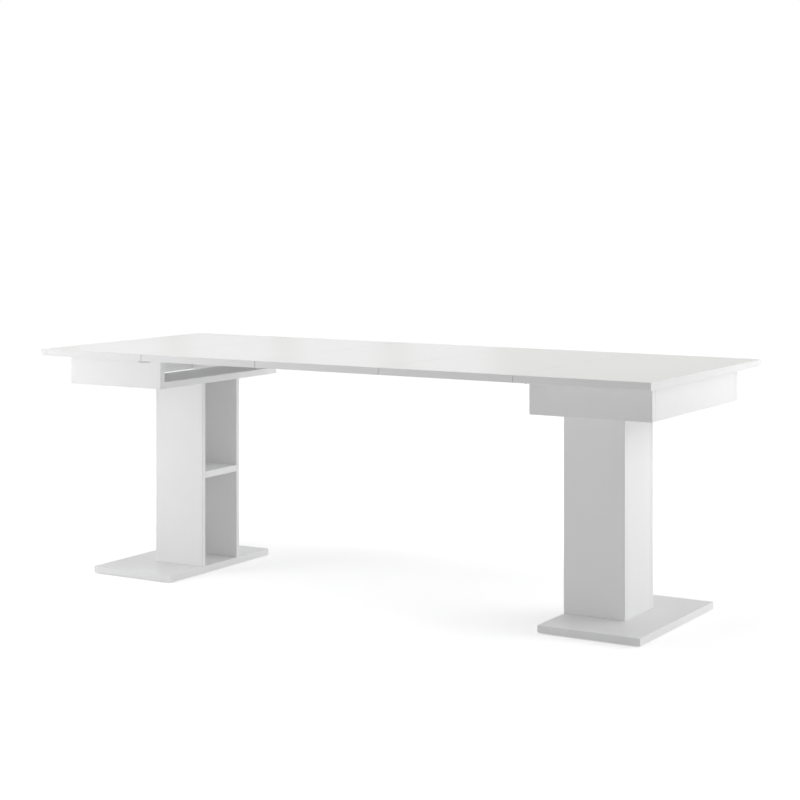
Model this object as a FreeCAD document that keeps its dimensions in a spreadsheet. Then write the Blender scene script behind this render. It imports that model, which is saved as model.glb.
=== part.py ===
import FreeCAD
import Part
import Sketcher
import os

# An extending dining table on two pedestals, standing at its full length with three loose leaves.
# X runs along the table, Y from the front edge to the rear edge, Z up from the floor.
# The origin lies on the floor under the middle of the table.

doc = FreeCAD.newDocument("ExtendingTable")
sheet = doc.addObject("Spreadsheet::Sheet", "Sizes")

# Driving sizes in millimetres. Everything else is worked out from these.
sizes = {
    "table_height": 763,
    "top_width": 850,
    "top_thickness": 22,
    "end_length": 425,
    "leaf_length": 450,
    "seam_gap": 1.5,
    "top_round": 1,
    "panel_round": 1.5,
    "apron_height": 100,
    "apron_thickness": 22,
    "apron_side_inset": 100,
    "apron_end_inset": 40,
    "board_thickness": 22,
    "column_depth": 200,
    "column_width": 206,
    "column_thickness": 16,
    "shelf_thickness": 22,
    "base_length": 325,
    "base_width": 550,
    "base_thickness": 22,
    "glide_height": 3,
    "glide_radius": 12,
    "glide_inset": 30,
    "glide_pin_radius": 2.5,
    "glide_pin_length": 14,
    "dowel_radius": 4,
    "dowel_wall": 6,
    "dowel_edge_depth": 18,
    "dowel_inset": 40,
    "panel_dowel_inset": 25,
    "end_dowel_offset": 150,
    "pin_play": 0.1,
    "end_play": 0.5,
    "flush_screw_radius": 2.5,
    "flush_screw_length": 48,
    "flush_screw_head_radius": 5,
    "flush_screw_head_depth": 4,
    "flush_screw_inset": 40,
    "bracket_leg": 30,
    "bracket_width": 40,
    "bracket_thickness": 2.5,
    "bracket_screw_offset": 18,
    "bracket_inset": 110,
    "end_bracket_offset": 210,
    "screw_radius": 2,
    "screw_length": 14,
    "screw_head_radius": 4,
    "screw_head_height": 2.5,
    "rail_height": 32,
    "rail_width": 14,
    "rail_gap": 2,
    "rail_outer": 134,
    "rail_end_gap": 13,
    "rail_drop": 0.3,
    "rail_bracket_inset": 60,
    "rail_bolt_radius": 2.5,
    "rail_bolt_depth": 4,
    "rail_nut_length": 16,
    "rail_nut_thickness": 4,
    "slot_mouth": 10,
    "slot_lip": 3,
    "slot_height": 20,
    "slot_depth": 6,
    "slot_play": 0.3,
    "block_length": 60,
    "block_inset": 15,
    "stop_length": 6,
    "stop_room": 5,
    "plate_width": 25,
    "plate_thickness": 5,
    "plate_reach": 14,
    "plate_seat": 24,
    "left_plate_inset": 12,
    "right_plate_inset": 50,
}

for row, (alias, value) in enumerate(sizes.items(), start=1):
    sheet.set(f"A{row}", alias)
    sheet.set(f"B{row}", str(value))
    sheet.setAlias(f"B{row}", alias)
doc.recompute()

blanks = {}  # each node's solid before it is drilled
holes = {}  # the holes that each node gets


# Expressions over the sheet


def neg(value):
    return f"-({value})"


def add(first, second):
    return f"({first}) + ({second})"


def sub(first, second):
    return f"({first}) - ({second})"


def half(value):
    return f"({value}) / 2"


def mid(first, second):
    return f"(({first}) + ({second})) / 2"


def side_of(sign, value):
    return value if sign > 0 else neg(value)


def span(sign, near, far):
    return (near, far) if sign > 0 else (neg(far), neg(near))


def both(value):
    return (neg(value), value)


def around(centre, size):
    return (sub(centre, half(size)), add(centre, half(size)))


# Solids


def place(item, corner):
    for axis, value in zip("xyz", corner):
        item.setExpression(f".Placement.Base.{axis}", value)


def box(name, xs, ys, zs):
    item = doc.addObject("Part::Box", name)
    item.setExpression("Length", sub(xs[1], xs[0]))
    item.setExpression("Width", sub(ys[1], ys[0]))
    item.setExpression("Height", sub(zs[1], zs[0]))
    place(item, (xs[0], ys[0], zs[0]))
    return item


turns = {
    "x": FreeCAD.Rotation(FreeCAD.Vector(0, 1, 0), 90),
    "y": FreeCAD.Rotation(FreeCAD.Vector(1, 0, 0), -90),
    "z": FreeCAD.Rotation(),
}


def rod(name, axis, start, length, radius):
    item = doc.addObject("Part::Cylinder", name)
    item.setExpression("Radius", radius)
    item.setExpression("Height", length)
    item.Placement = FreeCAD.Placement(FreeCAD.Vector(), turns[axis])
    place(item, start)
    return item


def cone(name, start, height, low_radius, high_radius):
    item = doc.addObject("Part::Cone", name)
    item.setExpression("Radius1", low_radius)
    item.setExpression("Radius2", high_radius)
    item.setExpression("Height", height)
    place(item, start)
    return item


def fused(name, shapes):
    item = doc.addObject("Part::MultiFuse", name)
    item.Shapes = shapes
    return item


def group(name, pieces):
    item = doc.addObject("Part::Compound", name)
    item.Links = pieces
    return item


def node(name, item):
    blanks[name] = item
    holes.setdefault(name, [])
    return item


def shifted(point, axis, by):
    moved = list(point)
    moved["xyz".index(axis)] = add(moved["xyz".index(axis)], by)
    return moved


# A flat board: a rectangle padded to its thickness, with every edge slightly rounded.
def board(name, xs, ys, zs, rounding):
    body = doc.addObject("PartDesign::Body", name)
    floor = next(f for f in body.Origin.OriginFeatures if f.Role == "XY_Plane")
    sketch = body.newObject("Sketcher::SketchObject", name + "_outline")
    sketch.AttachmentSupport = (floor, [""])
    sketch.MapMode = "FlatFace"
    guess = 50  # the outline is drawn this large and then driven by its two sizes
    corners = [(0, 0), (guess, 0), (guess, guess), (0, guess)]
    for start, stop in zip(corners, corners[1:] + corners[:1]):
        sketch.addGeometry(Part.LineSegment(FreeCAD.Vector(*start, 0), FreeCAD.Vector(*stop, 0)))
    for line in range(4):
        sketch.addConstraint(Sketcher.Constraint("Coincident", line, 2, (line + 1) % 4, 1))
    for line in (0, 2):
        sketch.addConstraint(Sketcher.Constraint("Horizontal", line))
        sketch.addConstraint(Sketcher.Constraint("Vertical", line + 1))
    sketch.addConstraint(Sketcher.Constraint("Coincident", 0, 1, -1, 1))
    along = sketch.addConstraint(Sketcher.Constraint("DistanceX", 0, 1, 0, 2, guess))
    across = sketch.addConstraint(Sketcher.Constraint("DistanceY", 1, 1, 1, 2, guess))
    sketch.renameConstraint(along, "along")
    sketch.renameConstraint(across, "across")
    sketch.setExpression("Constraints.along", sub(xs[1], xs[0]))
    sketch.setExpression("Constraints.across", sub(ys[1], ys[0]))
    pad = body.newObject("PartDesign::Pad", name + "_thickness")
    pad.Profile = sketch
    pad.setExpression("Length", sub(zs[1], zs[0]))
    doc.recompute()
    edges = body.newObject("PartDesign::Fillet", name + "_edges")
    edges.Base = (pad, ["Edge1"])
    edges.UseAllEdges = True
    edges.setExpression("Radius", rounding)
    place(body, (xs[0], ys[0], zs[0]))
    return node(name, body)


def drill(hole, names):
    for name in names:
        holes[name].append(hole)


# A pin and the slightly larger hole that it sits in.
def pin(name, axis, start, length, radius, drilled):
    hole_start = shifted(start, axis, "-Sizes.end_play")
    hole_length = add(length, "2 * Sizes.end_play")
    drill(rod(name + "_hole", axis, hole_start, hole_length, add(radius, "Sizes.pin_play")), drilled)
    return rod(name, axis, start, length, radius)


# A dowel across the joint between a board's face and another board's edge.
def dowel(axis, toward_face, joint, face_thickness, face_board, edge_board):
    face_depth = sub(face_thickness, "Sizes.dowel_wall")
    below = "Sizes.dowel_edge_depth" if toward_face > 0 else face_depth
    start = shifted(joint, axis, neg(below))
    length = add(face_depth, "Sizes.dowel_edge_depth")
    return pin("dowel", axis, start, length, "Sizes.dowel_radius", (face_board, edge_board))


# A round-headed screw whose head rests on the seat and whose shank runs from there.
def screw(axis, toward, seat, length, radius, drilled):
    start = seat if toward > 0 else shifted(seat, axis, neg(length))
    head_start = shifted(seat, axis, "-Sizes.screw_head_height") if toward > 0 else seat
    shank = pin("shank", axis, start, length, radius, drilled)
    head = rod("head", axis, head_start, "Sizes.screw_head_height", "Sizes.screw_head_radius")
    return fused("screw", [shank, head])


# A countersunk screw along Z, its head flush with the seat.
def flush_screw(toward, seat, drilled):
    depth = "Sizes.flush_screw_head_depth"
    wide = "Sizes.flush_screw_head_radius"
    thin = "Sizes.flush_screw_radius"
    play = "Sizes.pin_play"
    start = seat if toward > 0 else shifted(seat, "z", "-Sizes.flush_screw_length")
    sink_start = seat if toward > 0 else shifted(seat, "z", neg(depth))
    radii = (wide, thin) if toward > 0 else (thin, wide)
    shank = pin("flush_shank", "z", start, "Sizes.flush_screw_length", thin, drilled)
    head = cone("flush_head", sink_start, depth, *radii)
    sink = cone("flush_sink", sink_start, depth, add(radii[0], play), add(radii[1], play))
    drill(sink, drilled[:1])
    return fused("flush_screw", [shank, head])


# An angle bracket in the corner under a top: one leg up against the top, one down a wall.
# The wall's face is at wall, on the given axis, and the bracket stands on the side that open_to points at.
def bracket(axis, wall, open_to, centre):
    leg = add(wall, side_of(open_to, "Sizes.bracket_leg"))
    skin = add(wall, side_of(open_to, "Sizes.bracket_thickness"))
    flat = (wall, leg) if open_to > 0 else (leg, wall)
    upright = (wall, skin) if open_to > 0 else (skin, wall)
    width = around(centre, "Sizes.bracket_width")
    high = (sub(under, "Sizes.bracket_thickness"), under)
    deep = (sub(under, "Sizes.bracket_leg"), under)
    if axis == "x":
        legs = [box("flat_leg", flat, width, high), box("wall_leg", upright, width, deep)]
    else:
        legs = [box("flat_leg", width, flat, high), box("wall_leg", width, upright, deep)]
    return fused("bracket", legs)


# Heights
under = sub("Sizes.table_height", "Sizes.top_thickness")
apron_low = sub(under, "Sizes.apron_height")
board_top = add(apron_low, "Sizes.board_thickness")
base_top = add("Sizes.glide_height", "Sizes.base_thickness")
shelf_low = half(sub(add(base_top, apron_low), "Sizes.shelf_thickness"))
shelf_top = add(shelf_low, "Sizes.shelf_thickness")
rail_top = sub(under, "Sizes.rail_drop")
rail_low = sub(rail_top, "Sizes.rail_height")
rail_mid = mid(rail_low, rail_top)

# Distances from the middle of the table along X
seam = "1.5 * Sizes.leaf_length"
inner = add(seam, "Sizes.seam_gap / 2")
end = add(seam, "Sizes.end_length")
end_out = sub(end, "Sizes.apron_end_inset")
end_in = sub(end_out, "Sizes.apron_thickness")
column_out = add(inner, "Sizes.column_depth")
column_back = sub(column_out, "Sizes.column_thickness")
base_out = add(inner, "Sizes.base_length")

# Distances from the middle of the table along Y
top_side = half("Sizes.top_width")
apron_out = sub(top_side, "Sizes.apron_side_inset")
apron_in = sub(apron_out, "Sizes.apron_thickness")
column_side = half("Sizes.column_width")
column_in = sub(column_side, "Sizes.column_thickness")
base_side = half("Sizes.base_width")

halves = (("left", -1), ("right", 1))
hands = (("front", -1), ("rear", 1))

# The three leaves fill the gap between the halves.
for number in (1, 2, 3):
    centre = f"{number - 2} * Sizes.leaf_length"
    length = around(centre, sub("Sizes.leaf_length", "Sizes.seam_gap"))
    board(f"leaf_{number}", length, both(top_side), (under, "Sizes.table_height"), "Sizes.top_round")

# The boards of the two halves
for side, out in halves:
    top_span = (under, "Sizes.table_height")
    apron_span = (apron_low, under)
    column_span = (base_top, apron_low)
    pedestal_span = (apron_low, board_top)
    base_span = ("Sizes.glide_height", base_top)
    thin = "Sizes.panel_round"
    board(f"{side}_end_top", span(out, inner, end), both(top_side), top_span, "Sizes.top_round")
    board(f"{side}_end_panel", span(out, end_in, end_out), both(apron_in), apron_span, thin)
    board(f"{side}_pedestal_board", span(out, inner, column_out), both(apron_in), pedestal_span, thin)
    outer_x = span(out, column_back, column_out)
    board(f"{side}_outer_column_panel", outer_x, both(column_in), column_span, thin)
    board(f"{side}_shelf", span(out, inner, column_back), both(column_in), (shelf_low, shelf_top), thin)
    board(f"{side}_base_plate", span(out, inner, base_out), both(base_side), base_span, thin)
    for hand, turn in hands:
        apron_y = span(turn, apron_in, apron_out)
        column_y = span(turn, column_in, column_side)
        board(f"{side}_{hand}_apron", span(out, inner, end_out), apron_y, apron_span, thin)
        board(f"{side}_{hand}_column_panel", span(out, inner, column_out), column_y, column_span, thin)

# Telescopic rails: member 0 is fixed to the left half, 1 and 2 slide, 3 is fixed to the right half.
# Each member has a slot towards the middle of the table, in which the next member's blocks run.
# A member is as long as the closed table's apron box allows, and each stage opens by one leaf.
rail_reach = sub(end_in, "Sizes.rail_end_gap")
rail_length = f"2 * ({sub(rail_reach, seam)})"
rail_overlap = sub(rail_length, "Sizes.leaf_length")
rail_names = ("left", "stage_1", "stage_2", "right")


def rail_start(member):
    return add(neg(rail_reach), f"{member} * Sizes.leaf_length")


def rail_outside(member):
    return f"Sizes.rail_outer - {member} * (Sizes.rail_width + Sizes.rail_gap)"


def rail_inside(member):
    return sub(rail_outside(member), "Sizes.rail_width")


for member, owner in enumerate(rail_names):
    rail_x = (rail_start(member), add(rail_start(member), rail_length))
    face = rail_inside(member)
    lip = add(face, "Sizes.slot_lip")
    floor = add(lip, "Sizes.slot_depth")
    slot_z = around(rail_mid, "Sizes.slot_height")
    for hand, turn in hands:
        bar = box("bar", rail_x, span(turn, face, rail_outside(member)), (rail_low, rail_top))
        mouth = box("mouth", rail_x, span(turn, face, floor), around(rail_mid, "Sizes.slot_mouth"))
        cavity = box("cavity", rail_x, span(turn, lip, floor), slot_z)
        cut = doc.addObject("Part::Cut", "slotted_bar")
        cut.Base = bar
        cut.Tool = fused("slot", [mouth, cavity])
        node(f"{owner}_{hand}_rail", cut)
    if member < 3:
        stop_x = (sub(rail_x[1], "Sizes.stop_length"), rail_x[1])
        stops = [box("stop", stop_x, span(turn, lip, floor), slot_z) for hand, turn in hands]
        node(f"{owner}_rail_stops", group("stops", stops))

# T-shaped blocks on each moving member run in the slot of the member outside it.
# At full length the inner blocks stand just short of the stops.
last_block = sub(rail_overlap, "Sizes.stop_length + Sizes.stop_room + Sizes.block_length")
for member in (1, 2, 3):
    lip = add(rail_inside(member - 1), "Sizes.slot_lip")
    floor = add(lip, "Sizes.slot_depth")
    head = (add(lip, "Sizes.slot_play"), sub(floor, "Sizes.slot_play"))
    neck_z = around(rail_mid, sub("Sizes.slot_mouth", "2 * Sizes.slot_play"))
    head_z = around(rail_mid, sub("Sizes.slot_height", "2 * Sizes.slot_play"))
    blocks = []
    for hand, turn in hands:
        for stand in ("Sizes.block_inset", last_block):
            start = add(rail_start(member), stand)
            block_x = (start, add(start, "Sizes.block_length"))
            neck = box("neck", block_x, span(turn, rail_outside(member), head[1]), neck_z)
            blocks.append(fused("block", [neck, box("head", block_x, span(turn, *head), head_z)]))
    node(f"{rail_names[member]}_glide_blocks", group("blocks", blocks))

# Brackets, plates and floor glides have to be there before the screws are bored through them.
for side, out in halves:
    brackets = []
    rail_brackets = []
    plates = []
    for hand, turn in hands:
        for stand in (add(inner, "Sizes.bracket_inset"), sub(end_in, "Sizes.bracket_inset")):
            brackets.append(bracket("y", side_of(turn, apron_in), -turn, side_of(out, stand)))
        rail_face = rail_outside(0) if out < 0 else rail_inside(3)
        for stand in (add(inner, "Sizes.rail_bracket_inset"), sub(end_in, "Sizes.rail_bracket_inset")):
            open_to = turn if out < 0 else -turn
            rail_brackets.append(bracket("y", side_of(turn, rail_face), open_to, side_of(out, stand)))
        plate_x = span(out, sub(seam, "Sizes.plate_reach"), add(inner, "Sizes.plate_seat"))
        plate_far = sub(top_side, f"Sizes.{side}_plate_inset")
        plate_y = span(turn, sub(plate_far, "Sizes.plate_width"), plate_far)
        plates.append(box("plate", plate_x, plate_y, (sub(under, "Sizes.plate_thickness"), under)))
        brackets.append(bracket("x", side_of(out, end_in), -out, side_of(turn, "Sizes.end_bracket_offset")))
    node(f"{side}_top_brackets", group("brackets", brackets))
    node(f"{side}_rail_brackets", group("rail_brackets", rail_brackets))
    node(f"{side}_leaf_plates", group("plates", plates))

# Slot nuts that hold the right half's rails to their brackets
nuts = []
for hand, turn in hands:
    lip = add(rail_inside(3), "Sizes.slot_lip")
    nut_y = span(turn, lip, add(lip, "Sizes.rail_nut_thickness"))
    for stand in (add(inner, "Sizes.rail_bracket_inset"), sub(end_in, "Sizes.rail_bracket_inset")):
        nut_x = around(stand, "Sizes.rail_nut_length")
        nut_z = around(rail_mid, sub("Sizes.slot_height", "2 * Sizes.slot_play"))
        nuts.append(box("nut", nut_x, nut_y, nut_z))
node("right_rail_nuts", group("nuts", nuts))

# Fasteners of each half
for side, out in halves:
    dowels = []
    screws = []
    base_screws = []
    board_screws = []
    glides = []
    end_top = f"{side}_end_top"
    end_panel = f"{side}_end_panel"
    pedestal = f"{side}_pedestal_board"
    base = f"{side}_base_plate"
    outer = f"{side}_outer_column_panel"
    shelf = f"{side}_shelf"
    end_mid = side_of(out, mid(end_in, end_out))
    outer_mid = side_of(out, mid(column_back, column_out))
    apron = "Sizes.apron_thickness"
    column = "Sizes.column_thickness"
    top_seat = sub(under, "Sizes.bracket_thickness")
    bolt_length = add("Sizes.bracket_thickness", "Sizes.rail_bolt_depth")
    if out > 0:
        bolt_length = add(add("Sizes.bracket_thickness", "Sizes.slot_lip"), "Sizes.rail_nut_thickness")
    for hand, turn in hands:
        apron_name = f"{side}_{hand}_apron"
        column_name = f"{side}_{hand}_column_panel"
        apron_face = side_of(turn, apron_in)
        apron_mid = side_of(turn, mid(apron_in, apron_out))
        column_face = side_of(turn, column_in)
        column_mid = side_of(turn, mid(column_in, column_side))

        # end panel and pedestal board into the aprons
        low = add(apron_low, "Sizes.panel_dowel_inset")
        high = sub(under, "Sizes.panel_dowel_inset")
        for height in (low, high):
            dowels.append(dowel("y", turn, (end_mid, apron_face, height), apron, apron_name, end_panel))
        board_mid = mid(apron_low, board_top)
        for stand in (add(inner, "Sizes.dowel_inset"), sub(column_out, "Sizes.dowel_inset")):
            joint = (side_of(out, stand), apron_face, board_mid)
            dowels.append(dowel("y", turn, joint, apron, apron_name, pedestal))

        # aprons and end panel into the end top
        for stand in (add(inner, "Sizes.dowel_inset"), sub(end_in, "Sizes.dowel_inset")):
            joint = (side_of(out, stand), apron_mid, under)
            dowels.append(dowel("z", 1, joint, "Sizes.top_thickness", end_top, apron_name))
        joint = (end_mid, side_of(turn, "Sizes.end_dowel_offset"), under)
        dowels.append(dowel("z", 1, joint, "Sizes.top_thickness", end_top, end_panel))

        # outer panel and shelf into the column panels
        low = add(base_top, "Sizes.dowel_inset")
        high = sub(apron_low, "Sizes.dowel_inset")
        for height in (low, high):
            dowels.append(dowel("y", turn, (outer_mid, column_face, height), column, column_name, outer))
        for stand in (add(inner, "Sizes.dowel_inset"), sub(column_back, "Sizes.dowel_inset")):
            joint = (side_of(out, stand), column_face, mid(shelf_low, shelf_top))
            dowels.append(dowel("y", turn, joint, column, column_name, shelf))

        # base plate and pedestal board onto the column
        for stand in (add(inner, "Sizes.flush_screw_inset"), sub(column_out, "Sizes.flush_screw_inset")):
            spot = side_of(out, stand)
            base_screws.append(flush_screw(1, (spot, column_mid, "Sizes.glide_height"), (base, column_name)))
            board_screws.append(flush_screw(-1, (spot, column_mid, board_top), (pedestal, column_name)))
        spot = side_of(turn, sub(column_in, "Sizes.flush_screw_inset"))
        base_screws.append(flush_screw(1, (outer_mid, spot, "Sizes.glide_height"), (base, outer)))
        board_screws.append(flush_screw(-1, (outer_mid, spot, board_top), (pedestal, outer)))

        # angle brackets on the apron and the end panel
        offset = "Sizes.bracket_screw_offset"
        drop = sub(under, offset)
        wood = ("Sizes.screw_length", "Sizes.screw_radius")
        brackets = f"{side}_top_brackets"
        skin = side_of(turn, sub(apron_in, "Sizes.bracket_thickness"))
        for stand in (add(inner, "Sizes.bracket_inset"), sub(end_in, "Sizes.bracket_inset")):
            spot = side_of(out, stand)
            seat = (spot, side_of(turn, sub(apron_in, offset)), top_seat)
            screws.append(screw("z", 1, seat, *wood, (brackets, end_top)))
            screws.append(screw("y", turn, (spot, skin, drop), *wood, (brackets, apron_name)))
        spot = side_of(turn, "Sizes.end_bracket_offset")
        skin = side_of(out, sub(end_in, "Sizes.bracket_thickness"))
        seat = (side_of(out, sub(end_in, offset)), spot, top_seat)
        screws.append(screw("z", 1, seat, *wood, (brackets, end_top)))
        screws.append(screw("x", out, (skin, spot, drop), *wood, (brackets, end_panel)))

        # brackets of the fixed rail
        rail_brackets = f"{side}_rail_brackets"
        rail_name = f"{side}_{hand}_rail"
        bolted = (rail_brackets, rail_name if out < 0 else "right_rail_nuts")
        rail_face = rail_outside(0) if out < 0 else rail_inside(3)
        away = 1 if out < 0 else -1
        flat = side_of(turn, add(rail_face, side_of(away, offset)))
        skin = side_of(turn, add(rail_face, side_of(away, "Sizes.bracket_thickness")))
        for stand in (add(inner, "Sizes.rail_bracket_inset"), sub(end_in, "Sizes.rail_bracket_inset")):
            spot = side_of(out, stand)
            screws.append(screw("z", 1, (spot, flat, top_seat), *wood, (rail_brackets, end_top)))
            seat = (spot, skin, rail_mid)
            screws.append(screw("y", -turn * away, seat, bolt_length, "Sizes.rail_bolt_radius", bolted))

        # plates that carry the edge of the leaf beside the seam
        plates = f"{side}_leaf_plates"
        plate_mid = sub(top_side, f"Sizes.{side}_plate_inset + Sizes.plate_width / 2")
        spot = side_of(out, add(inner, "Sizes.plate_seat / 2"))
        for step in ("Sizes.plate_width / 4", "-Sizes.plate_width / 4"):
            seat = (spot, side_of(turn, add(plate_mid, step)), sub(under, "Sizes.plate_thickness"))
            screws.append(screw("z", 1, seat, *wood, (plates, end_top)))

        # push-in floor glides
        glide_y = side_of(turn, sub(base_side, "Sizes.glide_inset"))
        for stand in (add(inner, "Sizes.glide_inset"), sub(base_out, "Sizes.glide_inset")):
            foot = (side_of(out, stand), glide_y, "0")
            seat = (side_of(out, stand), glide_y, "Sizes.glide_height")
            disc = rod("glide_disc", "z", foot, "Sizes.glide_height", "Sizes.glide_radius")
            stem = pin("glide_pin", "z", seat, "Sizes.glide_pin_length", "Sizes.glide_pin_radius", (base,))
            glides.append(fused("glide", [disc, stem]))
    node(f"{side}_dowels", group("dowels", dowels))
    node(f"{side}_bracket_screws", group("screws", screws))
    node(f"{side}_base_screws", group("base_screws", base_screws))
    node(f"{side}_board_screws", group("board_screws", board_screws))
    node(f"{side}_floor_glides", group("glides", glides))

# Bore the drilled nodes.
nodes = {}
for name, blank in blanks.items():
    nodes[name] = blank
    blank.Label = name
    if holes[name]:
        blank.Label = name + "_blank"
        bored = doc.addObject("Part::Cut", name + "_bored")
        bored.Base = blank
        bored.Tool = group(name + "_holes", holes[name])
        bored.Label = name
        nodes[name] = bored
doc.recompute()

# Nothing is written unless every object is sound.
for item in doc.Objects:
    if "Invalid" in item.State or "Error" in item.State:
        raise RuntimeError(f"{item.Label} did not compute")
for name, item in nodes.items():
    if item.Shape.isNull() or not item.Shape.isValid() or not item.Shape.Solids:
        raise RuntimeError(f"{name} has no sound shape")
    if holes[name] and item.Shape.Volume >= blanks[name].Shape.Volume - 1:
        raise RuntimeError(f"the holes of {name} cut nothing")

os.makedirs("parts", exist_ok=True)
for name, item in nodes.items():
    item.Shape.exportStep(f"parts/{item.Label}.step")
print(len(nodes), "nodes,", sum(len(item.Shape.Solids) for item in nodes.values()), "solids")
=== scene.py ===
# Extending dining table: finishes, fittings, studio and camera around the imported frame.
# Lengths are in metres, in the frame's own axes: X along the table, Y to the rear, Z up.

import math

import bpy
import numpy as np
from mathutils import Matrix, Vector


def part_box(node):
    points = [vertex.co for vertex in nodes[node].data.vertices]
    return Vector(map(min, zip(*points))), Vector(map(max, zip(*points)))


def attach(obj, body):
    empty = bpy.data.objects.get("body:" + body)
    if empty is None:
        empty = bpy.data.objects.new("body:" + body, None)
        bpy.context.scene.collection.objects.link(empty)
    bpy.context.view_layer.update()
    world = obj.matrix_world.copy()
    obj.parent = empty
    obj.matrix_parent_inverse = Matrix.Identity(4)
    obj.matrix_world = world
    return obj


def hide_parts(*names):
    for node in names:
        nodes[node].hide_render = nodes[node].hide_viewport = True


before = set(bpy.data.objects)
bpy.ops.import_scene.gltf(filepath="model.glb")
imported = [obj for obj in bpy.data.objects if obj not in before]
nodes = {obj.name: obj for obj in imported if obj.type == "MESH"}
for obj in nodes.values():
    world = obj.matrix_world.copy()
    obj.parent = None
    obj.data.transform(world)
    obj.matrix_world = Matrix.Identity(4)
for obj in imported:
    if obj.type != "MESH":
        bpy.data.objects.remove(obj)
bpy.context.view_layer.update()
scene = bpy.context.scene
mm = 0.001
halves = "left", "right"
hands = {"front": -1, "rear": 1}


# Node helpers for the finishes

def newFinish(name):
    finish = bpy.data.materials.new(name)
    finish.use_nodes = True
    return finish, finish.node_tree, finish.node_tree.nodes["Principled BSDF"]


# A node with its settings and its inputs, each a number, a colour or another node's output.
def wire(tree, kind, inputs, **settings):
    node = tree.nodes.new("ShaderNode" + kind)
    for key, value in settings.items():
        setattr(node, key, value)
    for key, value in inputs.items():
        if isinstance(value, bpy.types.NodeSocket):
            tree.links.new(value, node.inputs[key])
        else:
            node.inputs[key].default_value = value
    return node


def objectPoint(tree, scale=(1, 1, 1)):
    source = tree.nodes.new("ShaderNodeTexCoord").outputs["Object"]
    return wire(tree, "Mapping", {"Vector": source, "Scale": scale}).outputs["Vector"]


def noise(tree, point, scale, detail=3.0, rough=0.55):
    inputs = {"Vector": point, "Scale": scale, "Detail": detail, "Roughness": rough}
    return wire(tree, "TexNoise", inputs).outputs["Fac"]


# Straight ramp from one value to another while the factor runs over the given part of 0 to 1.
def rampTo(tree, factor, low, high, start=0.3, stop=0.7):
    ramp = wire(tree, "ValToRGB", {"Fac": factor})
    ends = ramp.color_ramp.elements
    for end, value, position in ((ends[0], low, start), (ends[1], high, stop)):
        end.color = value if isinstance(value, tuple) else (value, value, value, 1)
        end.position = position
    return ramp.outputs["Color"]


def mathNode(tree, operation, first, second=0.0):
    return wire(tree, "Math", {0: first, 1: second}, operation=operation).outputs[0]


def mixColour(tree, factor, first, second, blend="MIX"):
    node = wire(tree, "Mix", {"Factor": factor}, data_type="RGBA", blend_type=blend)
    for socket, value in ((node.inputs[6], first), (node.inputs[7], second)):
        if isinstance(value, bpy.types.NodeSocket):
            tree.links.new(value, socket)
        else:
            socket.default_value = value
    return node.outputs[2]


def bumpFrom(tree, height, strength, distance):
    inputs = {"Height": height, "Strength": strength, "Distance": distance}
    return wire(tree, "Bump", inputs).outputs["Normal"]


# White boards. The broad faces have a pressed foil with a very fine pearl, the narrow faces
# a smoother edging strip, and the top's lower faces a lighter foil. They are told apart
# by the face's direction. On the top the upper foil is set darker than the edging, partly its own
# warm tone and partly painted shade against the strong light on the upper face; the lighter
# lower faces are painted light that sends more bounce into the shaded hollow under the top.

# The top's foil (low, high) is darker than its edging: painted shade against the strong light on the upper
# face. Its lower faces are lighter: painted light bounced into the shaded hollow under the top.
topFinishAndShading = {
    "low": (0.842, 0.842, 0.816, 1), "high": (0.854, 0.854, 0.828, 1),
    "edging": (0.892, 0.892, 0.891, 1), "paintedLightBacking": (0.905, 0.905, 0.905, 1), "backRough": (0.44, 0.52),
    "cloud": 3.2, "pearl": 620.0, "rough": (0.28, 0.31), "edgeRough": (0.28, 0.33),
    "bump": 0.045, "grainDepth": 0.00006, "ior": 1.46,
}
boardFinish = {
    "low": (0.880, 0.880, 0.883, 1), "high": (0.900, 0.900, 0.903, 1),
    "edging": (0.888, 0.888, 0.891, 1),
    "cloud": 3.6, "pearl": 760.0, "rough": (0.40, 0.50), "edgeRough": (0.34, 0.42),
    "bump": 0.07, "grainDepth": 0.00007, "ior": 1.46,
}
pearlTone = (0.985, 0.985, 0.985, 1), (1.0, 1.0, 1.0, 1)  # multiplies the foil's colour
edgeTurn = 0.55, 0.75  # part of a face's direction over which the edging gives way to the foil


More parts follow.
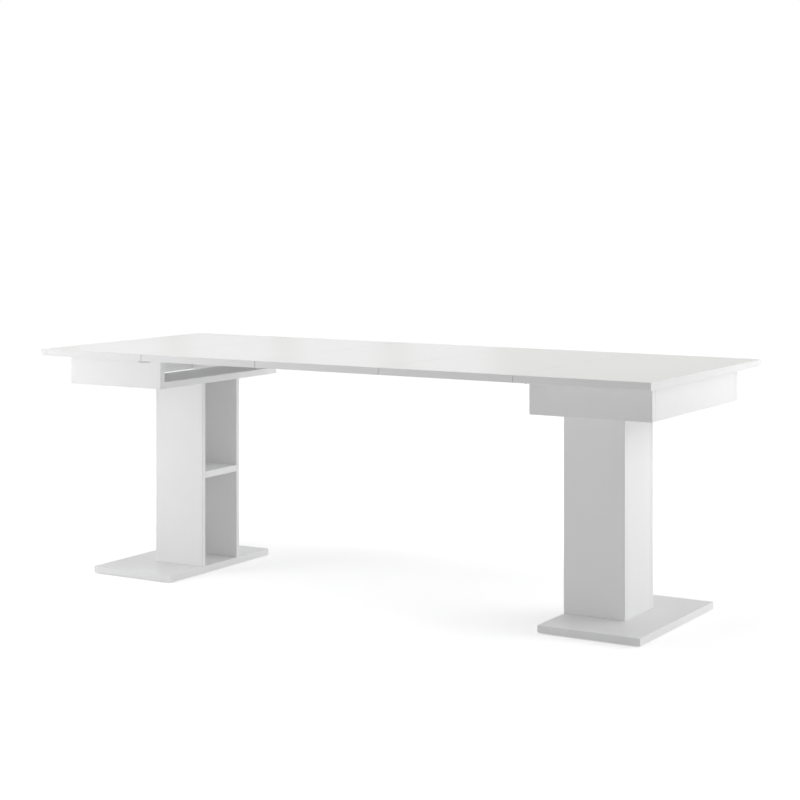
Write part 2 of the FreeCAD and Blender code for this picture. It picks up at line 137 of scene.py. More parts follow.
def whiteBoard(name, look, thinAxis):
    finish, tree, shader = newFinish(name)
    point = objectPoint(tree)
    cloud = noise(tree, point, look["cloud"], 5.0, 0.6)
    pearl = noise(tree, point, look["pearl"], 2.0, 0.5)
    facing = wire(tree, "SeparateXYZ", {0: tree.nodes.new("ShaderNodeTexCoord").outputs["Normal"]})
    broad = mathNode(tree, "ABSOLUTE", facing.outputs["XYZ".index(thinAxis)])
    broad = rampTo(tree, broad, 0.0, 1.0, *edgeTurn)
    foil = rampTo(tree, cloud, look["low"], look["high"])
    fleck = rampTo(tree, pearl, *pearlTone)
    foil = mixColour(tree, 1.0, foil, fleck, "MULTIPLY")
    strip = mixColour(tree, 1.0, look["edging"], fleck, "MULTIPLY")
    # On the top, the darker foil against the lighter strip is painted shade on the upper face.
    shade = mixColour(tree, broad, strip, foil)
    faceRough = rampTo(tree, cloud, *look["rough"])
    stripRough = rampTo(tree, cloud, *look["edgeRough"])
    rough = mixColour(tree, broad, stripRough, faceRough)
    # The top's downward faces take a lighter colour: painted light that sends more bounce into the shaded
    # hollow beneath the top.
    if "paintedLightBacking" in look:
        down = mathNode(tree, "MULTIPLY", facing.outputs["Z"], -1.0)
        below = rampTo(tree, down, 0.0, 1.0, *edgeTurn)
        back = mixColour(tree, 1.0, look["paintedLightBacking"], fleck, "MULTIPLY")
        shade = mixColour(tree, below, shade, back)
        rough = mixColour(tree, below, rough, rampTo(tree, cloud, *look["backRough"]))
    tree.links.new(shade, shader.inputs["Base Color"])
    tree.links.new(rough, shader.inputs["Roughness"])
    normal = bumpFrom(tree, pearl, look["bump"], look["grainDepth"])
    tree.links.new(normal, shader.inputs["Normal"])
    shader.inputs["IOR"].default_value = look["ior"]
    return finish


whiteTop = whiteBoard("whiteTop", topFinishAndShading, "Z")
boardAlong = {axis: whiteBoard("whiteBoard" + axis, boardFinish, axis) for axis in "XYZ"}

# Aluminium rails: drawn lines along X with a faint milky bloom.
railFinish = {
    "low": (0.74, 0.75, 0.76, 1), "high": (0.86, 0.865, 0.87, 1),
    "lines": (2.5, 950.0, 950.0), "bloom": 14.0, "rough": (0.29, 0.46), "bump": 0.16, "lineDepth": 0.00008,
}


def railMetal():
    finish, tree, shader = newFinish("railAluminium")
    drawn = noise(tree, objectPoint(tree, railFinish["lines"]), 1.0, 3.0, 0.6)
    bloom = noise(tree, objectPoint(tree), railFinish["bloom"], 4.0, 0.6)
    both = mathNode(tree, "MULTIPLY", mathNode(tree, "ADD", drawn, bloom), 0.5)
    tree.links.new(rampTo(tree, both, railFinish["low"], railFinish["high"]), shader.inputs["Base Color"])
    tree.links.new(rampTo(tree, drawn, *railFinish["rough"]), shader.inputs["Roughness"])
    normal = bumpFrom(tree, drawn, railFinish["bump"], railFinish["lineDepth"])
    tree.links.new(normal, shader.inputs["Normal"])
    shader.inputs["Metallic"].default_value = 1.0
    return finish


# Zinc plated steel: small crystals of slightly different tone, with a thin yellowish haze.
zincFinish = {
    "low": (0.52, 0.53, 0.54, 1), "high": (0.74, 0.74, 0.72, 1), "haze": (0.66, 0.62, 0.52, 1),
    "crystal": 420.0, "pits": 1600.0, "patch": 60.0, "hazeMost": 0.35, "hazeOver": (0.45, 0.75),
    "rough": (0.29, 0.44), "bump": 0.12, "pitDepth": 0.00008,
}


def zincPlate():
    finish, tree, shader = newFinish("zincSteel")
    point = objectPoint(tree)
    cells = wire(tree, "TexVoronoi", {"Vector": point, "Scale": zincFinish["crystal"]})
    tone = wire(tree, "SeparateXYZ", {0: cells.outputs["Color"]}).outputs[0]
    pits = noise(tree, point, zincFinish["pits"], 3.0, 0.6)
    patch = noise(tree, point, zincFinish["patch"])
    base = rampTo(tree, tone, zincFinish["low"], zincFinish["high"], 0.0, 1.0)
    hazeShare = rampTo(tree, patch, 0.0, zincFinish["hazeMost"], *zincFinish["hazeOver"])
    tree.links.new(mixColour(tree, hazeShare, base, zincFinish["haze"]), shader.inputs["Base Color"])
    tree.links.new(rampTo(tree, tone, *zincFinish["rough"], 0.0, 1.0), shader.inputs["Roughness"])
    normal = bumpFrom(tree, pits, zincFinish["bump"], zincFinish["pitDepth"])
    tree.links.new(normal, shader.inputs["Normal"])
    shader.inputs["Metallic"].default_value = 1.0
    return finish


# Powder coat on the leaf plates: a light grey skin with orange peel and a fine dull grain.
coatFinish = {
    "low": (0.545, 0.545, 0.540, 1), "high": (0.585, 0.585, 0.580, 1),
    "peel": 520.0, "grain": 1900.0, "rough": (0.46, 0.60), "bump": 0.22, "peelDepth": 0.00012,
}


def powderCoat():
    finish, tree, shader = newFinish("greyPowderCoat")
    point = objectPoint(tree)
    peel = noise(tree, point, coatFinish["peel"], 2.0, 0.5)
    grain = noise(tree, point, coatFinish["grain"], 2.0, 0.5)
    tone = mathNode(tree, "MULTIPLY", mathNode(tree, "ADD", peel, grain), 0.5)
    tree.links.new(rampTo(tree, tone, coatFinish["low"], coatFinish["high"]), shader.inputs["Base Color"])
    tree.links.new(rampTo(tree, grain, *coatFinish["rough"]), shader.inputs["Roughness"])
    normal = bumpFrom(tree, peel, coatFinish["bump"], coatFinish["peelDepth"])
    tree.links.new(normal, shader.inputs["Normal"])
    return finish


# Moulded plastics: spark-eroded grain, a little lighter where the surface is rubbed.
nylonFinish = {
    "name": "darkNylon", "low": (0.016, 0.016, 0.018, 1), "high": (0.030, 0.030, 0.032, 1),
    "grain": 1300.0, "rubbed": 55.0, "rough": (0.42, 0.58), "bump": 0.2, "grainDepth": 0.00008,
}
glideFinish = {
    "name": "glidePlastic", "low": (0.56, 0.56, 0.545, 1), "high": (0.63, 0.63, 0.615, 1),
    "grain": 900.0, "rubbed": 55.0, "rough": (0.46, 0.62), "bump": 0.2, "grainDepth": 0.00010,
}


def mouldedPlastic(look):
    finish, tree, shader = newFinish(look["name"])
    point = objectPoint(tree)
    grain = noise(tree, point, look["grain"], 2.0, 0.5)
    rubbed = noise(tree, point, look["rubbed"], 4.0, 0.6)
    tree.links.new(rampTo(tree, rubbed, look["low"], look["high"]), shader.inputs["Base Color"])
    tree.links.new(rampTo(tree, grain, *look["rough"]), shader.inputs["Roughness"])
    normal = bumpFrom(tree, grain, look["bump"], look["grainDepth"])
    tree.links.new(normal, shader.inputs["Normal"])
    return finish


# Beech: pale pinkish wood with short dark flecks.
beechFinish = {
    "low": (0.47, 0.29, 0.15, 1), "high": (0.62, 0.43, 0.25, 1), "fleck": (0.30, 0.17, 0.08, 1),
    "rings": 160.0, "flecks": 900.0, "fleckMost": 0.8, "fleckOver": (0.60, 0.70),
    "rough": (0.55, 0.72), "bump": 0.25, "grainDepth": 0.00015,
}


def beechWood():
    finish, tree, shader = newFinish("beechWood")
    point = objectPoint(tree)
    rings = noise(tree, point, beechFinish["rings"], 4.0, 0.6)
    flecks = noise(tree, point, beechFinish["flecks"], 2.0, 0.5)
    wood = rampTo(tree, rings, beechFinish["low"], beechFinish["high"])
    fleckShare = rampTo(tree, flecks, 0.0, beechFinish["fleckMost"], *beechFinish["fleckOver"])
    wood = mixColour(tree, fleckShare, wood, beechFinish["fleck"])
    tree.links.new(wood, shader.inputs["Base Color"])
    tree.links.new(rampTo(tree, flecks, *beechFinish["rough"]), shader.inputs["Roughness"])
    normal = bumpFrom(tree, flecks, beechFinish["bump"], beechFinish["grainDepth"])
    tree.links.new(normal, shader.inputs["Normal"])
    return finish


aluminium = railMetal()
zincSteel = zincPlate()
greyCoat = powderCoat()
darkNylon = mouldedPlastic(nylonFinish)
glidePlastic = mouldedPlastic(glideFinish)
beech = beechWood()


def dress(name, finish):
    slots = nodes[name].data.materials
    slots.clear()
    slots.append(finish)


# Which way each board is thin
thinAxes = {
    "end_panel": "X", "outer_column_panel": "X",
    "front_apron": "Y", "rear_apron": "Y", "front_column_panel": "Y", "rear_column_panel": "Y",
    "pedestal_board": "Z", "shelf": "Z", "base_plate": "Z",
}
for number in (1, 2, 3):
    dress(f"leaf_{number}", whiteTop)
for side in halves:
    dress(side + "_end_top", whiteTop)
    dress(side + "_dowels", beech)
    for part, axis in thinAxes.items():
        dress(f"{side}_{part}", boardAlong[axis])
dress("right_rail_nuts", zincSteel)
print("finishes on the boards")


# Mesh helpers

sharpFrom = math.radians(32)  # edges that turn by more than this stay crisp


# The separate solids of a frame node, each as its points. Points that share a triangle take
# the lowest label among them, over and over until no label changes.
def solidsOf(name):
    mesh = nodes[name].data
    points = np.empty(len(mesh.vertices) * 3)
    mesh.vertices.foreach_get("co", points)
    corners = np.empty(len(mesh.loops), np.int32)
    mesh.loops.foreach_get("vertex_index", corners)
    points, places = np.unique(points.reshape(-1, 3).round(6), axis=0, return_inverse=True)
    triangles = places.reshape(-1)[corners].reshape(-1, 3)
    label = np.arange(len(points))
    settled = False
    while not settled:
        fresh = label.copy()
        for corner in triangles.T:
            np.minimum.at(fresh, corner, label[triangles].min(axis=1))
        fresh = fresh[fresh]
        settled = np.array_equal(fresh, label)
        label = fresh
    return [points[label == mark] for mark in np.unique(label)]


# Quads between neighbouring rings: ring i and ring i + 1 are joined point by point, round to the start.
def ringFaces(rings, count):
    start = np.arange(rings - 1)[:, None] * count
    step = np.arange(count)[None, :]
    after = (step + 1) % count
    quads = np.stack([start + step, start + after, start + count + after, start + count + step], axis=-1)
    return quads.reshape(-1, 4)


# Quads of a grid of point numbers, each from four neighbours.
def gridFaces(index):
    quads = np.stack([index[:-1, :-1], index[1:, :-1], index[1:, 1:], index[:-1, 1:]], axis=-1)
    return quads.reshape(-1, 4)


# A closed shell is turned outwards when the sum of its signed tetrahedra is negative.
def outward(points, faces):
    volume = 0.0
    for size in sorted({len(face) for face in faces}):
        same = np.array([face for face in faces if len(face) == size])
        first = points[same[:, 0]]
        for k in range(1, size - 1):
            cross = np.cross(points[same[:, k]], points[same[:, k + 1]])
            volume += np.einsum("ij,ij->", first, cross)
    return faces if volume > 0 else [tuple(reversed(face)) for face in faces]


# Rings of points, the first and the last closed by a flat face each.
def shellOfRings(rings):
    count = rings.shape[1]
    points = rings.reshape(-1, 3)
    faces = [tuple(quad) for quad in ringFaces(len(rings), count).tolist()]
    faces.append(tuple(reversed(range(count))))
    faces.append(tuple(range(len(points) - count, len(points))))
    return points, outward(points - points.mean(axis=0), faces)


# A closed outline carried along a straight path. At each station the outline moves in by that
# station's inset, along the mean of the normals of the two sides that meet at each point.
def carried(outline, stations):
    back = outline - np.roll(outline, 1, axis=0)
    ahead = np.roll(outline, -1, axis=0) - outline
    normals = [np.stack([side[:, 1], -side[:, 0]], axis=1) for side in (back, ahead)]
    normals = [side / np.linalg.norm(side, axis=1, keepdims=True) for side in normals]
    mean = normals[0] + normals[1]
    mean = mean / (np.einsum("ij,ij->i", mean, normals[0])[:, None])
    area = np.einsum("i,i->", outline[:, 0], np.roll(outline[:, 1], -1) - np.roll(outline[:, 1], 1))
    mean = mean if area > 0 else -mean
    distance = np.array([station[0] for station in stations])[:, None]
    inset = np.array([station[1] for station in stations])[:, None]
    first = outline[None, :, 0] - inset * mean[None, :, 0]
    second = outline[None, :, 1] - inset * mean[None, :, 1]
    return np.stack([first, second, np.broadcast_to(distance, first.shape)], axis=-1)


# Every corner of a polygon becomes an arc: points of a quadratic curve from a point on one side,
# through the corner as its pull point, to a point on the other side.
def roundedOutline(corners, radii, steps=4):
    corners = np.array(corners, float)
    radii = np.broadcast_to(np.array(radii, float), len(corners))[:, None, None]
    toBack = np.roll(corners, 1, axis=0) - corners
    toAhead = np.roll(corners, -1, axis=0) - corners
    toBack = (toBack / np.linalg.norm(toBack, axis=1, keepdims=True))[:, None, :]
    toAhead = (toAhead / np.linalg.norm(toAhead, axis=1, keepdims=True))[:, None, :]
    t = np.linspace(0, 1, steps + 1)[None, :, None]
    curve = corners[:, None, :] + radii * (toBack * (1 - t) ** 2 + toAhead * t ** 2)
    return curve.reshape(-1, 2)


# Shells joined into one mesh piece that rides a body and takes a slot's finish.
def makePiece(name, shells, finish, body, replaced):
    points = np.concatenate([shell[0] for shell in shells])
    starts = np.cumsum([0] + [len(shell[0]) for shell in shells])
    faces = [tuple(index + start for index in face)
             for shell, start in zip(shells, starts) for face in shell[1]]
    mesh = bpy.data.meshes.new(name)
    mesh.from_pydata(points.tolist(), [], faces)
    mesh.validate()
    mesh.shade_smooth()
    mesh.set_sharp_from_angle(angle=sharpFrom)
    mesh.materials.append(finish)
    piece = bpy.data.objects.new(name, mesh)
    scene.collection.objects.link(piece)
    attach(piece, body)
    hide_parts(replaced)


# Points given as (across, up, along) turned so that along runs down the given direction from a seat.
def seated(points, seat, along):
    along = np.array(along, float)
    helper = np.array((0.0, 0.0, 1.0)) if abs(along[2]) < 0.5 else np.array((1.0, 0.0, 0.0))
    across = np.cross(helper, along)
    up = np.cross(along, across)
    return np.array(seat) + points[..., :1] * across + points[..., 1:2] * up + points[..., 2:] * along


# Screws

# Arms, their walls and the grid lines between and beyond them are parts of the head's radius
panScrew = {
    "rim": 1.15 * mm, "dome": 0.6, "recess": 1.25 * mm, "recessFall": 0.7,
    "armWidth": 0.15, "armLength": 0.56, "wall": 0.05, "between": 0.34, "beyond": 0.8,
    "edge": 0.25 * mm, "underside": 0.97, "point": 3 * mm, "pointWide": 0.3,
}
socketScrew = {
    "flats": 4.0 * mm, "depth": 2.7 * mm, "drill": 0.5 * mm, "drillWide": 0.25, "sides": 48,
    "lip": 0.2 * mm, "head": 4 * mm, "point": 4 * mm, "pointWide": 0.45,
}
# A head's widest points lie within the band of its full radius, and its shank starts well down the length.
screwRead = {"band": 0.2 * mm, "shankFrom": 0.7}


# Where a screw's solid sits: its axis is the long side of its box, and its head is at the end
# where the points lie farthest from that axis. Gives the seat at that end, the axis from the tip to it,
# the head's radius, the shank's radius, the length and the head's thickness.
def screwPlace(points):
    low, high = points.min(axis=0), points.max(axis=0)
    axis = int(np.argmax(high - low))
    centre = (low + high) / 2
    others = [k for k in range(3) if k != axis]
    spread = np.linalg.norm(points[:, others] - centre[others], axis=1)
    wide = points[spread > spread.max() - screwRead["band"], axis]
    turn = 1 if wide.mean() > centre[axis] else -1
    along = np.zeros(3)
    along[axis] = turn
    seat = centre.copy()
    seat[axis] = high[axis] if turn > 0 else low[axis]
    length = (high - low)[axis]
    shank = spread[np.abs(points[:, axis] - seat[axis]) > screwRead["shankFrom"] * length].max()
    head = np.abs(wide - seat[axis]).max()
    return seat, along, spread.max(), shank, length, head


# Round head: a square grid bent into a disc, raised as a dome and cut by two crossed arms.
# Height over the disc is rim + (head - rim) times 1 - r^2 to the dome's power, less the recess inside
# the arms, which is deepest in the middle. Rings follow the disc's border down the head and the shank.
def panShell(points):
    seat, along, radius, shank, length, head = screwPlace(points)
    half, arms, wall = panScrew["armWidth"], panScrew["armLength"], panScrew["wall"]
    between, beyond = panScrew["between"], panScrew["beyond"]
    lines = np.array([0, half - wall, half, between, arms - wall, arms, beyond, 1.0])
    lines = np.concatenate([-lines[:0:-1], lines])
    count = len(lines)
    u, v = np.meshgrid(lines, lines, indexing="ij")
    x = u * np.sqrt(1 - v ** 2 / 2)
    y = v * np.sqrt(1 - u ** 2 / 2)
    r2 = np.clip(x ** 2 + y ** 2, 0, 1)
    small, large = np.minimum(abs(u), abs(v)), np.maximum(abs(u), abs(v))
    arm = np.clip((half - small) / wall, 0, 1) * np.clip((arms - large) / wall, 0, 1)
    dome = panScrew["rim"] + (head - panScrew["rim"]) * (1 - r2) ** panScrew["dome"]
    height = dome - panScrew["recess"] * arm * (1 - panScrew["recessFall"] * large / arms)
    cap = np.stack([x * radius, y * radius, height - head], axis=-1).reshape(-1, 3)
    index = np.arange(count * count).reshape(count, count)
    border = np.concatenate([index[:-1, 0], index[-1, :-1], index[:0:-1, -1], index[0, :0:-1]])
    rim = cap[border][:, :2] / radius
    tip = head - length
    profile = np.array([(radius, panScrew["edge"]), (radius * panScrew["underside"], 0), (shank, 0),
                        (shank, tip + panScrew["point"]), (shank * panScrew["pointWide"], tip)])
    rings = np.stack([np.outer(profile[:, 0], rim[:, 0]), np.outer(profile[:, 0], rim[:, 1]),
                      np.repeat(profile[:, 1:] - head, len(rim), axis=1)], axis=-1)
    ringStart = len(cap)
    points = np.concatenate([cap, rings.reshape(-1, 3)])
    faces = [tuple(quad) for quad in gridFaces(index)[:, ::-1].tolist()]
    first = ringStart + np.arange(len(rim))
    after = np.roll(np.arange(len(rim)), -1)
    faces += np.stack([border, border[after], first[after], first], axis=1).tolist()
    faces += (ringFaces(len(profile), len(rim)) + ringStart).tolist()
    faces.append(tuple(range(len(points) - len(rim), len(points))))
    placed = seated(points, seat, along)
    return placed, outward(placed - placed.mean(axis=0), [tuple(face) for face in faces])


# Flush head with a six-sided socket: the distance of the socket's wall from the axis at an angle is
# the apothem over the cosine of the angle from the nearest flat's middle; the other rings are circles.
def socketShell(points):
    seat, along, radius, shank, length = screwPlace(points)[:5]
    angle = np.arange(socketScrew["sides"]) * 2 * math.pi / socketScrew["sides"]
    fromFlat = (angle + math.pi / 6) % (math.pi / 3) - math.pi / 6
    socket = socketScrew["flats"] / 2 / np.cos(fromFlat)
    circle = np.ones_like(angle)
    lip, deep, head = socketScrew["lip"], socketScrew["depth"], socketScrew["head"]
    rings = [
        (socket * socketScrew["drillWide"], -deep - socketScrew["drill"]), (socket, -deep),
        (socket, -lip), (socket + lip, 0), (circle * (radius - lip), 0),
        (circle * radius, -lip), (circle * shank, -head), (circle * shank, socketScrew["point"] - length),
        (circle * shank * socketScrew["pointWide"], -length),
    ]
    stacked = np.stack([np.stack([reach * np.cos(angle), reach * np.sin(angle), depth * circle], axis=-1)
                        for reach, depth in rings])
    return shellOfRings(seated(stacked, seat, along))


# Angle brackets, pressed from sheet

bracketLook = {
    "leg": 30 * mm, "sheet": 2.5 * mm, "bend": 3.4 * mm, "corner": 6 * mm,
    "rib": 3.2 * mm, "ribWide": 3.4 * mm, "ribLong": 8.5 * mm, "across": 17, "along": 33, "round": 7,
}


# The middle of the sheet runs down one leg, round a quarter circle and out along the other.
# Across it the half width is the full one, less a quarter circle at both free ends, and a pressed
# rib lifts the sheet by rib * exp(-(v / wide)^2) * cos^2 along the bend. Two layers, half a sheet
# to each side of the middle, close at their borders.
def bracketShell(points):
    look = bracketLook
    low, high = points.min(axis=0), points.max(axis=0)
    size, lean = high - low, points.mean(axis=0) - (low + high) / 2
    wideAxis = int(np.argmax(size))
    wallAxis = 1 - wideAxis  # the legs lie on the other level axis and on Z
    inward = -1 if lean[wallAxis] > 0 else 1
    wall = high[wallAxis] if inward < 0 else low[wallAxis]
    bend, corner, half = look["bend"], look["corner"], look["sheet"] / 2
    straight, radius = look["leg"] - bend, bend - half
    bendLength = radius * math.pi / 2
    ends = corner * (1 - np.cos(np.linspace(0, math.pi / 2, look["round"])))
    total = 2 * straight + bendLength
    middle = np.linspace(corner, total - corner, look["along"])[1:-1]
    s = np.concatenate([ends, middle, total - ends[::-1]])
    turn = np.clip((s - straight) / bendLength, 0, 1) * math.pi / 2
    outFromWall = bend - radius * np.cos(turn) + np.clip(s - straight - bendLength, 0, None)
    belowTop = bend - radius * np.sin(turn) + np.clip(straight - s, 0, None)
    fromArc = np.clip(corner - np.minimum(s, total - s), 0, None)
    cut = corner - np.sqrt(np.clip(corner ** 2 - fromArc ** 2, 0, None))
    halfWide = size[wideAxis] / 2 - cut
    v = np.linspace(-1, 1, look["across"])
    across = halfWide[:, None] * v[None, :]
    window = np.cos(np.clip((s - total / 2) / look["ribLong"], -1, 1) * math.pi / 2) ** 2
    lift = look["rib"] * window[:, None] * np.exp(-(across / look["ribWide"]) ** 2)
    layers = []
    for offset in (half, -half):
        reach = lift + offset
        out = outFromWall[:, None] + reach * np.cos(turn)[:, None]
        down = belowTop[:, None] + reach * np.sin(turn)[:, None]
        layer = np.zeros(across.shape + (3,))
        layer[..., wideAxis] = (low + high)[wideAxis] / 2 + across
        layer[..., wallAxis] = wall + inward * out
        layer[..., 2] = high[2] - down
        layers.append(layer)
    return shellOfRings(np.concatenate([layers[0], layers[1][:, ::-1]], axis=1))


# Floor glides, turned about Z

glideLook = {
    "sides": 48,
    "profile": np.array([
        (0.4, 0.25), (5.4, 0.25), (5.9, 0.0), (9.6, 0.0), (10.7, 0.2), (11.5, 0.7), (11.9, 1.4),
        (12.0, 2.0), (12.0, 2.7), (11.7, 3.0), (2.5, 3.0), (2.5, 15.5), (1.6, 17.0)]) * mm,
}


# The profile's (radius, height) pairs swept round the upright axis.
def glideShell(points):
    centre = (points.min(axis=0) + points.max(axis=0)) / 2
    profile, sides = glideLook["profile"], glideLook["sides"]
    angle = np.arange(sides) * 2 * math.pi / sides
    rings = np.stack([
        centre[0] + np.outer(profile[:, 0], np.cos(angle)),
        centre[1] + np.outer(profile[:, 0], np.sin(angle)),
        np.repeat(profile[:, 1:], sides, axis=1)], axis=-1)
    return shellOfRings(rings)


# Leaf plates: a rectangle with round corners carried up through the thickness, edges eased.
# The film is a breath of air between a plate and the boards above it.
plateLook = {"corner": 7 * mm, "cornerSteps": 8, "ease": 0.7 * mm, "bevel": 0.35, "film": 0.05 * mm}


def plateShell(points):
    low, high = points.min(axis=0), points.max(axis=0)
    ease, bottom, top = plateLook["ease"], low[2], high[2] - plateLook["film"]
    corners = [(low[0], low[1]), (high[0], low[1]), (high[0], high[1]), (low[0], high[1])]
    outline = roundedOutline(corners, plateLook["corner"], plateLook["cornerSteps"])
    bevel = ease * plateLook["bevel"]
    stations = [(bottom, ease), (bottom + bevel, bevel), (bottom + ease, 0),
                (top - ease, 0), (top - bevel, bevel), (top, ease)]
    return shellOfRings(carried(outline, stations))


# Rails and what runs in them: outlines in Y and Z carried along X

railLook = {
    "round": 1.0 * mm, "lip": 3 * mm, "mouth": 10 * mm, "slot": 20 * mm, "deep": 6 * mm,
    "mouthRound": 0.6 * mm, "slotRound": 0.5 * mm,
    "groove": 0.5 * mm, "grooveRise": 9 * mm, "grooveRound": 0.15 * mm, "ease": 0.35 * mm,
}
blockLook = {
    "round": 1.0 * mm, "neckRound": 0.2 * mm, "shoulderRound": 0.4 * mm,
    "slotPlay": 0.6 * mm, "mouthPlay": 0.3 * mm, "ease": 1.2 * mm, "easeMost": 0.2,
    "endIn": 0.6, "bevelAt": 0.4, "bevelIn": 0.15,  # parts of the ease
}


# The slotted bar's outline, drawn for a slot that opens to -Y and turned for the other hand:
# a rectangle with the T-slot let in from one side and two fine grooves in the other.
def railShell(name, turn):
    low, high = [np.array(corner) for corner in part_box(name)]
    middle = (low[2] + high[2]) / 2
    inside, outside = (low[1], high[1]) if turn > 0 else (high[1], low[1])
    wide = abs(outside - inside)
    look = railLook
    lipIn, floorIn = look["lip"], look["lip"] + look["deep"]
    tall = (high[2] - low[2]) / 2
    mouth, slot, groove, rise = look["mouth"] / 2, look["slot"] / 2, look["groove"], look["grooveRise"]
    right = [(wide, -tall), (wide, -rise - groove), (wide - groove, -rise), (wide, -rise + groove)]
    right += [(y, -z) for y, z in right[::-1]]
    left = [(0, tall), (0, mouth), (lipIn, mouth), (lipIn, slot), (floorIn, slot)]
    left += [(y, -z) for y, z in left[::-1]]
    radii = [look["round"]] + [look["grooveRound"]] * 6 + [look["round"]]
    radii += [look["round"], look["mouthRound"]] + [look["slotRound"]] * 3
    radii += radii[:7:-1]
    outline = roundedOutline(right + left, radii)
    ease = look["ease"]
    stations = [(low[0], ease), (low[0] + ease, 0), (high[0] - ease, 0), (high[0], ease)]
    rings = carried(outline, stations)
    placed = np.stack([rings[..., 2], inside + turn * rings[..., 0], middle + rings[..., 1]], axis=-1)
    return shellOfRings(placed)


# A block's outline is a T, its neck towards the rail that carries it; a stop's is a rectangle.
def slotShell(points, tee):
    low, high = points.min(axis=0), points.max(axis=0)
    turn = 1 if (low + high)[1] > 0 else -1
    start, finish = (low[1], high[1]) if turn > 0 else (high[1], low[1])
    wide, tall = abs(finish - start), (high[2] - low[2]) / 2
    if tee:
        shoulder = wide - (railLook["deep"] - blockLook["slotPlay"])
        neck = railLook["mouth"] / 2 - blockLook["mouthPlay"]
        right = [(0, -neck), (shoulder, -neck), (shoulder, -tall), (wide, -tall)]
        radii = [blockLook["neckRound"], blockLook["shoulderRound"], blockLook["round"], blockLook["round"]]
    else:
        right = [(0, -tall), (wide, -tall)]
        radii = [blockLook["round"], blockLook["round"]]
    corners = right + [(y, -z) for y, z in right[::-1]]
    outline = roundedOutline(corners, radii + radii[::-1])
    ease = min(blockLook["ease"], blockLook["easeMost"] * (high[0] - low[0]))
    endIn, bevelAt, bevelIn = [ease * blockLook[key] for key in ("endIn", "bevelAt", "bevelIn")]
    stations = [(low[0], endIn), (low[0] + bevelAt, bevelIn), (low[0] + ease, 0),
                (high[0] - ease, 0), (high[0] - bevelAt, bevelIn), (high[0], endIn)]
    rings = carried(outline, stations)
    middle = (low[2] + high[2]) / 2
    placed = np.stack([rings[..., 2], start + turn * rings[..., 0], middle + rings[..., 1]], axis=-1)
    return shellOfRings(placed)


# Fittings in place of the plain solids

def fit(name, shells, finish, body):
    makePiece(name + "_fitted", shells, finish, body, name)


for side in halves:
    body = side + "_half"
    screws = [panShell(solid) for solid in solidsOf(side + "_bracket_screws")]
    fit(side + "_bracket_screws", screws, zincSteel, body)
    for kind in ("base_screws", "board_screws"):
        shells = [socketShell(solid) for solid in solidsOf(f"{side}_{kind}")]
        fit(f"{side}_{kind}", shells, zincSteel, body)
    for kind in ("top_brackets", "rail_brackets"):
        shells = [bracketShell(solid) for solid in solidsOf(f"{side}_{kind}")]
        fit(f"{side}_{kind}", shells, zincSteel, body)
    plates = [plateShell(solid) for solid in solidsOf(side + "_leaf_plates")]
    fit(side + "_leaf_plates", plates, greyCoat, body)
    glides = [glideShell(solid) for solid in solidsOf(side + "_floor_glides")]
    fit(side + "_floor_glides", glides, glidePlastic, body)
print("screws, brackets, plates and glides")

railBodies = {
    "left": "left_half", "stage_1": "rail_stage_1", "stage_2": "rail_stage_2", "right": "right_half",
}
for owner, body in railBodies.items():
    for hand, turn in hands.items():
        name = f"{owner}_{hand}_rail"
        fit(name, [railShell(name, turn)], aluminium, body)
    for kind, tee in (("rail_stops", False), ("glide_blocks", True)):
        name = f"{owner}_{kind}"
        if name in nodes:
            fit(name, [slotShell(solid, tee) for solid in solidsOf(name)], darkNylon, body)
print("rails, blocks and stops")


# Studio: a pale floor that keeps the table's shadow, a white surround and soft lamps

studio = {
    "floorSize": 60.0, "floorColour": (0.92, 0.92, 0.92, 1), "floorRough": 0.9, "world": 0.324,
    "glow": (0.40, 0.74), "glowReach": (0.55, 1.5), "glowScale": (0.5, 1, 1),  # under the table and far off
}
lamps = {
    "leftLow": {"at": (-3.2, -0.8, 0.8), "size": 1.6, "watts": 12.4},
    "leftNear": {"at": (-2.0, -1.8, 0.5), "size": 1.2, "watts": 10.6},
    "leftHigh": {"at": (-2.2, -1.6, 1.5), "size": 1.4, "watts": 9.0},
    "overhead": {"at": (-0.6, -0.6, 4.4), "size": 2.4, "watts": 46.3},
    "rear": {"at": (2.6, 3.2, 1.6), "size": 2.4, "watts": 43.4},
    "rightRear": {"at": (4.0, 2.4, 1.0), "size": 2.4, "watts": 41.1},
    "right": {"at": (3.4, 0.8, 1.6), "size": 2.0, "watts": 10.3},
}
lampAim = (0, 0, 0.5)  # every lamp faces the middle of the table, half way up
# Upright strips of light in a row behind the table, which the top mirrors as soft bands
strips = {
    "middle": (-2.933, 3.059, 1.9), "step": 0.603, "count": 5, "wide": 0.483, "tall": 3.2,
    "watts": 1.32, "colour": (0.87, 0.87, 1.0),
}
cameraLook = {
    "at": (3.1040, -4.9883, 1.2608), "turn": 0.5344,
    "lens": 82.061, "sensor": 36.0, "shift": (-0.0375, -0.2509),
}


# 1 where a surface is seen by the camera, in a reflection or through glass, and 0 where it only lights.
def lookedAt(tree):
    path = tree.nodes.new("ShaderNodeLightPath").outputs
    seen = mathNode(tree, "MAXIMUM", path["Is Camera Ray"], path["Is Glossy Ray"])
    return mathNode(tree, "MAXIMUM", seen, path["Is Transmission Ray"])


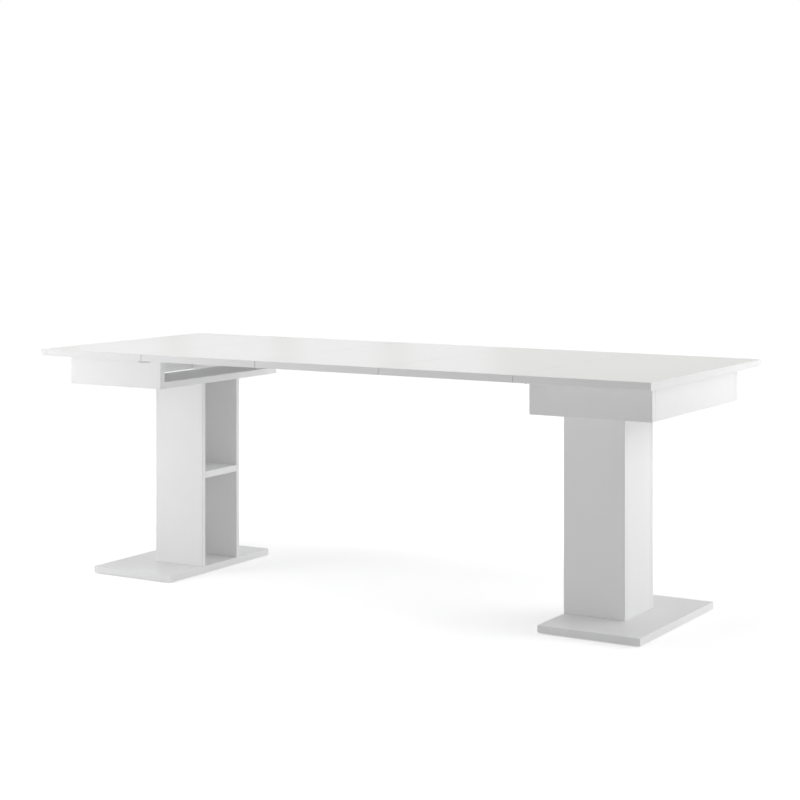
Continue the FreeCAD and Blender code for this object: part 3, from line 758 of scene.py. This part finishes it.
# A flat square of floor on a grid of its two level directions. Its glow rises with the distance
# from the table, so the ground runs out to white and the shadow under the table stays.
def makeFloor():
    reach = np.linspace(-0.5, 0.5, 3) * studio["floorSize"]
    x, y = np.meshgrid(reach, reach, indexing="ij")
    points = np.stack([x, y, np.zeros_like(x)], axis=-1).reshape(-1, 3)
    index = np.arange(x.size).reshape(x.shape)
    mesh = bpy.data.meshes.new("studioFloor")
    mesh.from_pydata(points.tolist(), [], gridFaces(index).tolist())
    finish, tree, shader = newFinish("studioFloor")
    shader.inputs["Base Color"].default_value = studio["floorColour"]
    shader.inputs["Roughness"].default_value = studio["floorRough"]
    shader.inputs["Specular IOR Level"].default_value = 0.0
    seen = lookedAt(tree)
    point = objectPoint(tree, studio["glowScale"])
    away = wire(tree, "VectorMath", {0: point}, operation="LENGTH").outputs["Value"]
    near, far = studio["glowReach"]
    least, most = studio["glow"]
    spread = {"Value": away, "From Min": near, "From Max": far, "To Min": least, "To Max": most}
    level = wire(tree, "MapRange", spread, interpolation_type="SMOOTHSTEP").outputs["Result"]
    glow = wire(tree, "Emission", {"Strength": level})
    both = wire(tree, "AddShader", {0: shader.outputs[0], 1: glow.outputs[0]})
    pick = wire(tree, "MixShader", {0: seen, 1: shader.outputs[0], 2: both.outputs[0]})
    below = tree.nodes.new("ShaderNodeNewGeometry").outputs["Backfacing"]  # clear when seen from underneath
    clear = tree.nodes.new("ShaderNodeBsdfTransparent")
    pick = wire(tree, "MixShader", {0: below, 1: pick.outputs[0], 2: clear.outputs[0]})
    tree.links.new(pick.outputs[0], tree.nodes["Material Output"].inputs["Surface"])
    mesh.materials.append(finish)
    floor = bpy.data.objects.new("studioFloor", mesh)
    scene.collection.objects.link(floor)


def makeWorld():
    world = bpy.data.worlds.new("studioWorld")
    world.use_nodes = True
    tree = world.node_tree
    soft = tree.nodes["Background"]
    soft.inputs["Color"].default_value = (1, 1, 1, 1)
    soft.inputs["Strength"].default_value = studio["world"]
    white = wire(tree, "Background", {"Color": (1, 1, 1, 1), "Strength": 1.0})
    pick = wire(tree, "MixShader", {0: lookedAt(tree), 1: soft.outputs[0], 2: white.outputs[0]})
    tree.links.new(pick.outputs[0], tree.nodes["World Output"].inputs["Surface"])
    scene.world = world


# A sheet of light of the given width and height that faces the given way.
def addLamp(name, at, facing, wide, tall, watts, colour=(1, 1, 1)):
    light = bpy.data.lights.new(name, "AREA")
    light.shape = "RECTANGLE"
    light.size, light.size_y = wide, tall
    light.energy = watts
    light.color = colour
    lamp = bpy.data.objects.new(name, light)
    lamp.location = at
    lamp.rotation_euler = facing.to_track_quat("-Z", "Y").to_euler()
    lamp.visible_camera = False
    scene.collection.objects.link(lamp)
    return lamp


def makeLamps():
    for name, look in lamps.items():
        facing = Vector(lampAim) - Vector(look["at"])
        lamp = addLamp(name, look["at"], facing, look["size"], look["size"], look["watts"])
        lamp.visible_glossy = False  # the top mirrors only the strips
    cos, sin = math.cos(cameraLook["turn"]), math.sin(cameraLook["turn"])
    for number in range(strips["count"]):
        away = (number - (strips["count"] - 1) / 2) * strips["step"]
        at = Vector(strips["middle"]) + away * Vector((cos, sin, 0))
        size = strips["wide"], strips["tall"]
        addLamp(f"strip{number + 1}", at, Vector((sin, -cos, 0)), *size, strips["watts"], strips["colour"])


# Camera: level, with the view shifted down and to the left as in the photograph
def makeCamera():
    lens = bpy.data.cameras.new("studioCamera")
    lens.sensor_width = cameraLook["sensor"]
    lens.lens = cameraLook["lens"]
    lens.shift_x, lens.shift_y = cameraLook["shift"]
    camera = bpy.data.objects.new("studioCamera", lens)
    camera.location = cameraLook["at"]
    camera.rotation_euler = (math.pi / 2, 0, cameraLook["turn"])
    scene.collection.objects.link(camera)
    scene.camera = camera


makeFloor()
makeWorld()
makeLamps()
makeCamera()
scene.view_settings.view_transform = "Standard"
scene.cycles.diffuse_bounces = 8  # white insides of the niches pass light on many times
print("studio and camera")
